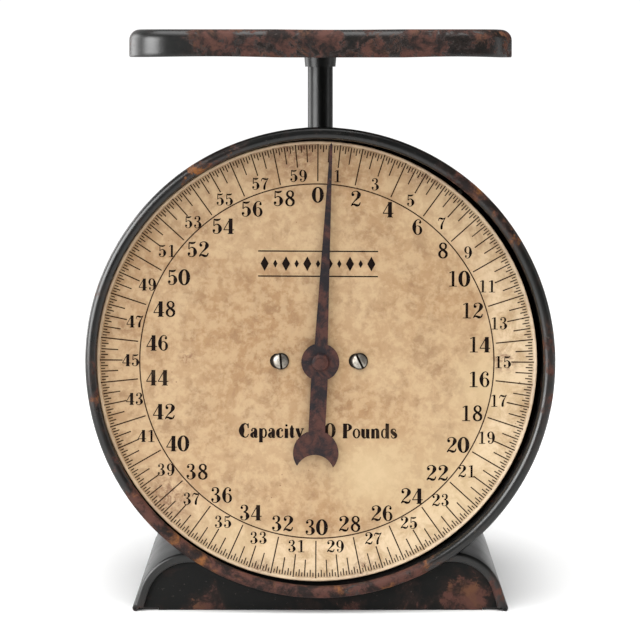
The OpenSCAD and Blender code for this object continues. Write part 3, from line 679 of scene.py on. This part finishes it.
# Figures in the manner of an old book face, one unit high. Curves and bars run through
# (x, up, half width), balls are (x, up, radius), rings (centre x, centre up, half width, half height,
# half weight). Letters also start with their width.
THIN = 0.034
FAT = 0.124
BOWL = [(0.30, 0.025, 0.024), (0.15, 0.065, 0.026), (0.09, 0.18, 0.03)]
FIGURES = {
    "0": {"rings": [(0.32, 0.5, 0.225, 0.475, FAT)]},
    "1": {
        "bars": [
            [(0.34, 0.98, 0.084), (0.34, 0.03, 0.084)],
            [(0.12, 0.025, 0.025), (0.56, 0.025, 0.025)],
            [(0.34, 0.97, 0.022), (0.14, 0.86, 0.03)],
        ],
    },
    "2": {
        "curves": [
            [(0.1, 0.76, 0.05), (0.13, 0.9, 0.03), (0.3, 0.975, 0.026), (0.44, 0.91, 0.06),
             (0.485, 0.74, FAT), (0.4, 0.53, 0.07), (0.22, 0.32, 0.034), (0.09, 0.12, THIN),
             (0.075, 0.03, THIN)],
            [(0.08, 0.08, 0.03), (0.2, 0.14, 0.055), (0.36, 0.075, 0.078), (0.49, 0.1, 0.05),
             (0.56, 0.27, THIN)],
        ],
        "balls": [(0.15, 0.745, 0.092)],
    },
    "3": {
        "curves": [
            [(0.11, 0.82, 0.03), (0.16, 0.93, 0.026), (0.29, 0.975, 0.024), (0.41, 0.91, 0.06),
             (0.44, 0.76, 0.084), (0.38, 0.61, 0.05), (0.24, 0.535, 0.022)],
            [(0.24, 0.535, 0.022), (0.4, 0.48, 0.055), (0.475, 0.28, FAT), (0.42, 0.1, 0.06)] + BOWL,
        ],
        "balls": [(0.15, 0.8, 0.082), (0.135, 0.215, 0.088)],
    },
    "4": {
        "bars": [
            [(0.415, 0.98, FAT), (0.415, 0.03, FAT)],
            [(0.26, 0.025, 0.025), (0.58, 0.025, 0.025)],
            [(0.02, 0.265, 0.03), (0.61, 0.265, 0.03)],
            [(0.385, 0.97, 0.03), (0.04, 0.275, 0.026)],
        ],
    },
    "5": {
        "curves": [
            [(0.135, 0.97, 0.022), (0.135, 0.75, THIN), (0.13, 0.5, THIN)],
            [(0.13, 0.5, 0.024), (0.27, 0.615, 0.03), (0.42, 0.54, 0.065), (0.475, 0.32, FAT),
             (0.42, 0.11, 0.06)] + BOWL,
            [(0.13, 0.925, 0.035), (0.26, 0.885, 0.066), (0.4, 0.9, 0.06), (0.51, 0.97, 0.018)],
        ],
        "balls": [(0.135, 0.215, 0.088)],
    },
    "6": {
        "curves": [
            [(0.49, 0.85, 0.04), (0.43, 0.94, 0.026), (0.32, 0.975, 0.026), (0.18, 0.83, 0.062),
             (0.125, 0.5, FAT), (0.17, 0.17, 0.07), (0.31, 0.025, 0.024), (0.45, 0.11, 0.06),
             (0.5, 0.3, 0.086), (0.45, 0.5, 0.055), (0.32, 0.585, 0.022), (0.21, 0.53, 0.022),
             (0.16, 0.42, 0.022)],
        ],
        "balls": [(0.455, 0.8, 0.08)],
    },
    "7": {
        "curves": [
            [(0.06, 0.7, THIN), (0.085, 0.84, 0.03), (0.17, 0.915, 0.06), (0.33, 0.87, 0.074),
             (0.45, 0.88, 0.045), (0.565, 0.97, 0.02)],
            [(0.565, 0.97, 0.02), (0.47, 0.78, 0.03), (0.35, 0.52, 0.06), (0.29, 0.28, 0.088),
             (0.285, 0.08, 0.092)],
        ],
        "balls": [(0.285, 0.09, 0.09)],
    },
    "8": {
        "rings": [(0.32, 0.765, 0.165, 0.205, 0.07), (0.32, 0.27, 0.2, 0.245, 0.082)],
        "curves": [[(0.17, 0.8, 0.04), (0.22, 0.63, 0.07), (0.4, 0.47, 0.08), (0.5, 0.3, 0.05)]],
    },
}
FIGURE_W = 0.63
FIGURES["9"] = {
    "curves": [[(FIGURE_W - x, 1.0 - up, half) for x, up, half in FIGURES["6"]["curves"][0]]],
    "balls": [(FIGURE_W - x, 1.0 - up, r) for x, up, r in FIGURES["6"]["balls"]],
}


def foot(x, reach=0.135):
    """Serif under a stem."""
    return [(x - reach, 0.025, 0.025), (x + reach, 0.025, 0.025)]


def flag(x, up):
    """Serif to the left of a stem's top."""
    return [(x, up - 0.01, 0.022), (x - 0.13, up - 0.03, 0.024)]


STEM = 0.075


def stem(x, top):
    return [(x, top, STEM), (x, 0.03, STEM)]


LETTERS = {
    "C": (0.68, {
        "curves": [
            [(0.575, 0.7, 0.022), (0.52, 0.88, 0.022), (0.35, 0.975, 0.024), (0.16, 0.82, 0.07),
             (0.11, 0.5, FAT), (0.16, 0.18, 0.07), (0.35, 0.025, 0.024), (0.52, 0.09, 0.022),
             (0.6, 0.26, 0.022)],
        ],
        "bars": [[(0.575, 0.99, 0.025), (0.575, 0.66, 0.025)]],
    }),
    "P": (0.68, {
        "curves": [
            [(0.2, 0.975, 0.022), (0.42, 0.955, 0.03), (0.55, 0.755, 0.08), (0.42, 0.54, 0.03),
             (0.2, 0.51, 0.022)],
        ],
        "bars": [
            [(0.18, 0.98, 0.085), (0.18, 0.03, 0.085)],
            foot(0.18, 0.17),
            [(0.02, 0.975, 0.024), (0.3, 0.975, 0.024)],
        ],
    }),
    "a": (0.58, {
        "curves": [
            [(0.1, 0.5, 0.03), (0.15, 0.61, 0.024), (0.25, 0.65, 0.022), (0.36, 0.59, 0.05),
             (0.39, 0.46, STEM), (0.39, 0.12, STEM), (0.45, 0.03, 0.03), (0.55, 0.08, 0.018)],
            [(0.39, 0.4, 0.02), (0.22, 0.35, 0.035), (0.12, 0.19, 0.07), (0.19, 0.04, 0.035),
             (0.29, 0.05, 0.022), (0.39, 0.15, 0.02)],
        ],
        "balls": [(0.135, 0.495, 0.065)],
    }),
    "c": (0.52, {
        "curves": [
            [(0.45, 0.52, 0.03), (0.38, 0.63, 0.022), (0.28, 0.65, 0.022), (0.14, 0.52, 0.06),
             (0.11, 0.33, 0.078), (0.15, 0.13, 0.06), (0.28, 0.02, 0.024), (0.41, 0.07, 0.022),
             (0.48, 0.18, 0.02)],
        ],
        "balls": [(0.41, 0.5, 0.068)],
    }),
    "d": (0.64, {
        "rings": [(0.27, 0.33, 0.18, 0.31, STEM)],
        "bars": [stem(0.47, 1.02), flag(0.47, 1.02), foot(0.52, 0.1)],
    }),
    "i": (0.34, {
        "bars": [stem(0.17, 0.64), flag(0.17, 0.64), foot(0.17)],
        "balls": [(0.17, 0.87, 0.085)],
    }),
    "n": (0.68, {
        "curves": [
            [(0.2, 0.48, 0.02), (0.34, 0.63, 0.03), (0.46, 0.58, 0.06), (0.5, 0.42, STEM),
             (0.5, 0.03, STEM)],
        ],
        "bars": [stem(0.17, 0.64), flag(0.17, 0.64), foot(0.17), foot(0.5)],
    }),
    "o": (0.57, {"rings": [(0.285, 0.33, 0.2, 0.31, 0.078)]}),
    "p": (0.61, {
        "rings": [(0.36, 0.33, 0.17, 0.31, STEM)],
        "bars": [
            [(0.16, 0.64, STEM), (0.16, -0.28, STEM)],
            flag(0.16, 0.64),
            [(0.02, -0.285, 0.024), (0.3, -0.285, 0.024)],
        ],
    }),
    "s": (0.5, {
        "curves": [
            [(0.41, 0.48, 0.02), (0.36, 0.61, 0.022), (0.25, 0.65, 0.024), (0.13, 0.57, 0.05),
             (0.15, 0.43, 0.07), (0.27, 0.34, 0.08), (0.4, 0.22, 0.075), (0.39, 0.09, 0.05),
             (0.27, 0.02, 0.024), (0.14, 0.06, 0.022), (0.09, 0.2, 0.02)],
        ],
    }),
    "t": (0.42, {
        "curves": [
            [(0.18, 0.88, 0.02), (0.18, 0.6, STEM), (0.18, 0.16, STEM), (0.25, 0.03, 0.03),
             (0.37, 0.12, 0.018)],
        ],
        "bars": [[(0.02, 0.63, 0.024), (0.35, 0.63, 0.024)]],
    }),
    "u": (0.66, {
        "curves": [
            [(0.15, 0.64, STEM), (0.15, 0.22, STEM), (0.21, 0.06, 0.05), (0.31, 0.03, 0.024),
             (0.46, 0.14, 0.018)],
        ],
        "bars": [stem(0.48, 0.64), flag(0.15, 0.64), flag(0.48, 0.64), foot(0.54, 0.1)],
    }),
    "y": (0.6, {
        "curves": [[(0.5, 0.63, 0.022), (0.3, 0.0, 0.024), (0.22, -0.2, 0.022), (0.12, -0.26, 0.03)]],
        "bars": [
            [(0.12, 0.63, 0.078), (0.31, 0.06, 0.06)],
            [(0.0, 0.635, 0.023), (0.25, 0.635, 0.023)],
            [(0.4, 0.635, 0.023), (0.6, 0.635, 0.023)],
        ],
        "balls": [(0.115, -0.215, 0.066)],
    }),
}


def draw_glyph(target, glyph, x, up, height, widen):
    """Adds one figure or letter; each stroke lies a layer above the last, so none share a plane."""
    def placed(path):
        return [(x + px * height * widen, up + py * height, w * height) for px, py, w in path]

    layer = INK_RISE
    steps = 28
    for cx, cy, rx, ry, weight in glyph.get("rings", []):
        loop = []
        for c, s in arc(0, 0, 1, 0, 360, steps):
            loop.append((cx + rx * c, cy + ry * s, THIN + (weight - THIN) * abs(c) ** 1.6))
        target.strip(placed(loop), layer)
        layer += LAYER
    for path in [smooth(curve) for curve in glyph.get("curves", [])] + glyph.get("bars", []):
        target.strip(placed(path), layer)
        layer += LAYER
    for bx, by, r in glyph.get("balls", []):
        centre_x, centre_up = x + bx * height * widen, up + by * height
        target.polygon(arc(centre_x, centre_up, r * height, 0, 340, 17), layer)


def draw_number(target, text, x, up, height):
    """A number centred at a place on the dial, upright."""
    widen = 1.14
    advance = 0.645 * widen
    width = advance * (len(text) - 1) + FIGURE_W * widen
    for i, figure in enumerate(text):
        left = x + (advance * i - width / 2) * height
        draw_glyph(target, FIGURES[figure], left, up - height / 2, height, widen)


def bolder(glyph, by):
    """The same figure or letter with heavier strokes."""
    strokes = {kind: [[(x, up, half * by) for x, up, half in path] for path in glyph.get(kind, [])]
               for kind in ("curves", "bars")}
    return {**glyph, **strokes}


def draw_word(target, word, x, up, height):
    """A bold word from x on, standing on a line at up."""
    widen, spacing, boldness = 0.97, 0.035, 1.65
    for letter in word:
        width, glyph = LETTERS[letter]
        draw_glyph(target, bolder(glyph, boldness), x, up, height, widen)
        x += (width * widen + spacing) * height


def print_numbers():
    """Even pounds large on the inner ring, odd pounds small outside the ring line."""
    even_lean, single_shift = 0.7, 2.2
    ink = Print()
    for pounds in range(CAPACITY):
        right, up = polar(1.0, 2 * math.pi * pounds / CAPACITY)
        even = pounds % 2 == 0
        if even:
            across, high, height = 78.8 + right * even_lean, 81.0, 7.7
        else:
            across, high, height = 90.6, 90.7, 6.0
        x = right * across
        if even and 0 < pounds < 10:
            x += single_shift
        draw_number(ink, str(pounds), x * MM, up * high * MM, height * MM)
    ink.done("dial_numbers", INK)


def print_graduations():
    """Eight divisions to the pound; the pound, half and quarter marks run further in."""
    divisions = 8
    tick_end, pound_end = 105.2, 107.0
    fine = Print()
    for step in range(CAPACITY * divisions):
        pounds, part = divmod(step, divisions)
        if part == 0:
            inner, outer, width = 87.6 if pounds % 2 == 0 else 94.7, pound_end, 0.6
        elif part == divisions / 2:
            inner, outer, width = 96.9, tick_end, 0.56
        elif part % 2 == 0:
            inner, outer, width = 101.8, tick_end, 0.54
        else:
            inner, outer, width = 103.2, tick_end, 0.52
        turn = 2 * math.pi * step / (CAPACITY * divisions)
        fine.strip([(*polar(radius * MM, turn), width / 2 * MM) for radius in (inner, outer)])
    fine.done("dial_graduations", FINE_INK)
    line = Print()
    ring_r, steps = 86.3 * MM, 240
    ring = [(*polar(ring_r, 2 * math.pi * i / steps), 0.3 * MM) for i in range(steps + 1)]
    line.strip(ring, INK_RISE + LAYER)
    line.done("dial_ring_line", FINE_INK)


def print_legend():
    """The capacity in words, and two rules with a row of diamonds between them."""
    ink = Print()
    height = 7.0 * MM
    base_line = -37.5 * MM
    draw_word(ink, "Capacity", -37.2 * MM, base_line, height)
    draw_number(ink, str(CAPACITY), 3.9 * MM, base_line + height * 0.52, height * 1.04)
    draw_word(ink, "Pounds", 12.7 * MM, base_line, height)
    for rule in (53.5 * MM, 41.3 * MM):
        ink.strip([(-28.9 * MM, rule, 0.3 * MM), (29.6 * MM, rule, 0.3 * MM)])
    pitch, middle, slim = 5.2 * MM, 47.4 * MM, 0.55
    for i in range(-5, 6):
        size = (3.6 if i % 2 else 2.0) * MM
        x = 0.3 * MM + i * pitch
        left, right = (x - size * slim, middle), (x + size * slim, middle)
        ink.polygon([left, (x, middle - size), right, (x, middle + size)])
    ink.done("dial_legend", INK)


def build_dial_edge():
    """The dial plate's edge, turned forward a little by the press."""
    width, rise = 1.5 * MM, 0.5 * MM
    outline = [(DIAL_R - 0.05 * MM, DIAL_FRONT - 0.3 * MM), (DIAL_R - 0.1 * MM, DIAL_FRONT + rise * 0.7)]
    outline += [(DIAL_R - 0.4 * MM, DIAL_FRONT + rise), (DIAL_R - 0.8 * MM, DIAL_FRONT + rise * 0.8)]
    outline += [(DIAL_R - width, DIAL_FRONT + 0.02 * MM), (DIAL_R - width, DIAL_FRONT - 0.3 * MM)]
    edge = lathe("dial_edge", outline, "housing", DIAL_EDGE_HIGHLIGHT)
    for corner in edge.data.vertices:
        corner.co.x += DIAL_SLIP


# ---- pointer
def pointer_half():
    """Right half of the outline, (right, up): tip, blade, hub, and a tail disc with a round bite."""
    half = [(0.0, 106.4), (0.35, 105.8), (1.6, 57.0)]
    half += arc(0, 0, 9.0, 70.9, -65, 18)
    half += arc(0, -44.2, 10.8, 69.4, -34.5, 18)
    half += arc(0, -54.6, 9.7, 24.5, 90, 10)
    return [(x * MM, up * MM) for x, up in half]


def build_pointer():
    """Stamped pointer with softened edges, turned clockwise to where it rests."""
    right = pointer_half()
    outline = right + [(-x, up) for x, up in reversed(right[1:-1])]
    back, front = -pointer_high.y, -pointer_high.y + 0.9 * MM
    soft = 0.25 * MM
    layers = [(back, 0.0), (front - soft, 0.0), (front - soft * 0.3, soft * 0.3), (front, soft)]
    c, s = math.cos(POINTER_REST), math.sin(POINTER_REST)
    count = len(outline)
    points = []
    for out, inset in layers:
        for i, (x, up) in enumerate(outline):
            before, after = outline[i - 1], outline[(i + 1) % count]
            side = Vector((before[1] - after[1], after[0] - before[0])).normalized() * inset
            x, up = x + side.x, up + side.y
            points.append(in_face(x * c + up * s, up * c - x * s, out))
    faces = ring_faces(len(layers), count)
    blade = add_piece("pointer_blade", points, faces, "pointer_spindle", RUSTED)
    on_axis = 0.0001 * MM
    cap = [(on_axis, back + 0.5 * MM), (4.2 * MM, back + 0.5 * MM), (4.2 * MM, back + 1.7 * MM)]
    cap += [(3.9 * MM, back + 2.2 * MM), (2.9 * MM, back + 2.5 * MM), (1.9 * MM, back + 2.45 * MM)]
    cap += [(1.6 * MM, back + 2.2 * MM), (on_axis, back + 2.35 * MM)]
    lathe("pointer_boss", cap, "pointer_spindle", RUSTED, 64)
    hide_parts("pointer")


# ---- springs
def tube(name, path, radius, body, material):
    """A round wire along a path of points."""
    sides = 12
    points = []
    last = len(path) - 1
    side = Vector((1, 0, 0))
    for i, place in enumerate(path):
        along = (path[min(i + 1, last)] - path[max(i - 1, 0)]).normalized()
        side = (side - along * side.dot(along)).normalized()
        across = along.cross(side)
        for k in range(sides):
            a = 2 * math.pi * k / sides
            points.append(place + (side * math.cos(a) + across * math.sin(a)) * radius)
    return add_piece(name, points, ring_faces(last + 1, sides), body, material)


HOOK_R = 5 * MM


def hook(centre_x, centre_z, up):
    """Loop through a bar's hole; up is 1 for the top hook and -1 for the bottom one."""
    turns = [math.radians(230 - 10 * i) for i in range(24)]
    return [Vector((centre_x, HOOK_R * math.cos(a), centre_z + up * HOOK_R * math.sin(a))) for a in turns]


def build_spring(x, label):
    """Coil and bottom hook, with no body, and a top hook that rides on the hanger."""
    wire = 1.3 * MM
    coil_r = 7.8 * MM
    turns, per_turn = 20, 28
    low_loop, high_loop = spring_low.z + wire + HOOK_R, spring_high.z - wire - HOOK_R
    leg = 11 * MM
    low, high = low_loop + leg, high_loop - leg
    path = hook(x, low_loop, -1)
    path.append(Vector((x, HOOK_R * 1.2, low_loop + leg * 0.5)))
    steps = turns * per_turn
    for i in range(steps + 1):
        a = math.pi / 2 + 2 * math.pi * i / per_turn
        z = low + (high - low) * i / steps
        path.append(Vector((x + coil_r * math.cos(a), coil_r * math.sin(a), z)))
    path += [Vector((x, HOOK_R, high_loop - down * leg)) for down in (0.5, 0.3)]
    coil = tube(f"{label}_spring_coil", path, wire, None, SPRING)
    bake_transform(coil)
    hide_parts(f"{label}_spring")
    top = hook(x, high_loop, 1)
    top += [Vector((x, HOOK_R, high_loop - down * leg)) for down in (0.2, 0.45)]
    tube(f"{label}_spring_hook", top, 0.98 * wire, "spring_hanger", SPRING)


# ---- finish of the carried-over CAD parts
FINISHES = {
    "dial_plate": DIAL,
    "post_tube": ENAMEL["post"],
    "post_collar": ENAMEL["post"],
    "post_bush": ENAMEL["post"],
    "pan_bracket": ENAMEL["post"],
    "back_cover": ENAMEL["cover"],
    "saddle_strap": ENAMEL["cover"],
    "base_front_panel": ENAMEL["panel"],
    "base_rear_panel": ENAMEL["panel"],
    "dial_screws": SCREW,
    "dial_spacers": GRIMY,
    "frame_plate": GRIMY,
    "arbor": RUSTED,
    "back_screws": NICKEL,
    "frame_screws": NICKEL,
    "saddle_screws": NICKEL,
    "zero_washer": NICKEL,
    "pan_rivets": STEEL,
    "zero_knob": BRASS,
    "rack": BRASS,
    "pinion": BRASS,
    "arbor_bushes": BRASS,
}


def finish_cad_parts():
    """Gives every CAD node that is not replaced its finish, plain steel if none is named."""
    for name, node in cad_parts.items():
        node.data.materials.clear()
        node.data.materials.append(FINISHES.get(name, STEEL))


# ---- setting
def soft_light(name, place, target, width, height, power, diffuse=True):
    """A rectangular lamp. Without diffuse light it is only seen as a reflection in glossy surfaces."""
    data = bpy.data.lights.new(name, "AREA")
    data.shape = "RECTANGLE"
    data.size, data.size_y = width, height
    data.energy = power
    light = bpy.data.objects.new(name, data)
    bpy.context.scene.collection.objects.link(light)
    light.location = place
    light.rotation_euler = (Vector(target) - Vector(place)).to_track_quat("-Z", "Y").to_euler()
    light.visible_diffuse = diffuse


def build_floor():
    """Plain floor that ends short of the camera and runs far back."""
    half = 4.0
    front = -0.75
    corners = [(-half, front, 0), (half, front, 0), (half, half, 0), (-half, half, 0)]
    floor = add_object("floor", corners, [(0, 1, 2, 3)], solid=False)
    floor.data.materials.append(floor_material())
    floor.location.z = -0.1 * MM


def build_world():
    """White backdrop, brightest behind and to the left; a dim room in front keeps the enamel dark."""
    world = bpy.data.worlds.new("studio")
    bpy.context.scene.world = world
    world.use_nodes = True
    tree = world.node_tree
    tree.nodes.clear()
    seen, around = add_node(tree, "Background"), add_node(tree, "Background")
    for background in (seen, around):
        background.inputs["Color"].default_value = (1, 1, 1, 1)
    seen.inputs["Strength"].default_value = 1.05
    towards = add_node(tree, "VectorMath", operation="DOT_PRODUCT")
    towards.inputs[1].default_value = (-0.6, 0.8, 0)
    tree.links.new(add_node(tree, "TexCoord").outputs["Generated"], towards.inputs[0])
    level = add_node(tree, "MapRange", interpolation_type="SMOOTHSTEP")
    tree.links.new(towards.outputs["Value"], level.inputs["Value"])
    for name, value in (("From Min", 0.35), ("From Max", 0.95), ("To Min", 0.08), ("To Max", 0.6)):
        level.inputs[name].default_value = value
    tree.links.new(level.outputs[0], around.inputs["Strength"])
    path, mix, out = (add_node(tree, kind) for kind in ("LightPath", "MixShader", "OutputWorld"))
    tree.links.new(path.outputs["Is Camera Ray"], mix.inputs[0])
    tree.links.new(around.outputs[0], mix.inputs[1])
    tree.links.new(seen.outputs[0], mix.inputs[2])
    tree.links.new(mix.outputs[0], out.inputs["Surface"])


def build_lights():
    """Soft overhead light for the shape, and softboxes whose reflections draw the enamel's edges."""
    middle = (0, -0.03, 0.14)
    soft_light("left_softbox", (-1.0, -0.85, 0.4), middle, 0.95, 0.9, 40, False)
    soft_light("left_rear_softbox", (-1.1, 0.45, 0.3), middle, 0.7, 1.1, 14, False)
    soft_light("top_softbox", (-0.1, -0.2, 1.5), middle, 1.2, 0.9, 16)
    soft_light("right_fill", (1.4, -0.3, 0.4), middle, 0.3, 0.9, 2.5, False)
    data = bpy.data.lights.new("overhead", "SUN")
    data.energy = 3.7
    data.angle = math.radians(90)
    sun = bpy.data.objects.new("overhead", data)
    bpy.context.scene.collection.objects.link(sun)
    sun.rotation_euler = (math.radians(28), 0, 0)
    sun.visible_glossy = False


def build_camera():
    """Level camera above the dial; the lens is shifted down, so that the round rim stays round."""
    distance, height = 1.184, 0.276
    data = bpy.data.cameras.new("camera")
    data.lens = 127.9
    data.sensor_width = 36
    data.shift_x = -0.0005
    data.shift_y = -0.4316
    data.clip_start = 0.01
    camera = bpy.data.objects.new("camera", data)
    bpy.context.scene.collection.objects.link(camera)
    camera.location = (0, -distance, height)
    camera.rotation_euler = (math.radians(90), 0, 0)
    bpy.context.scene.camera = camera


def choose_view():
    """Plain display colours, so that the white backdrop stays white."""
    bpy.context.scene.view_settings.view_transform = "Standard"


finish_cad_parts()
build_drum()
build_rim()
build_pan()
build_wrap()
build_foot(1, "right")
build_foot(-1, "left")
print_numbers()
print_graduations()
print_legend()
build_dial_edge()
build_pointer()
build_spring(-SPRING_X, "left")
build_spring(SPRING_X, "right")
build_floor()
build_world()
build_lights()
build_camera()
choose_view()
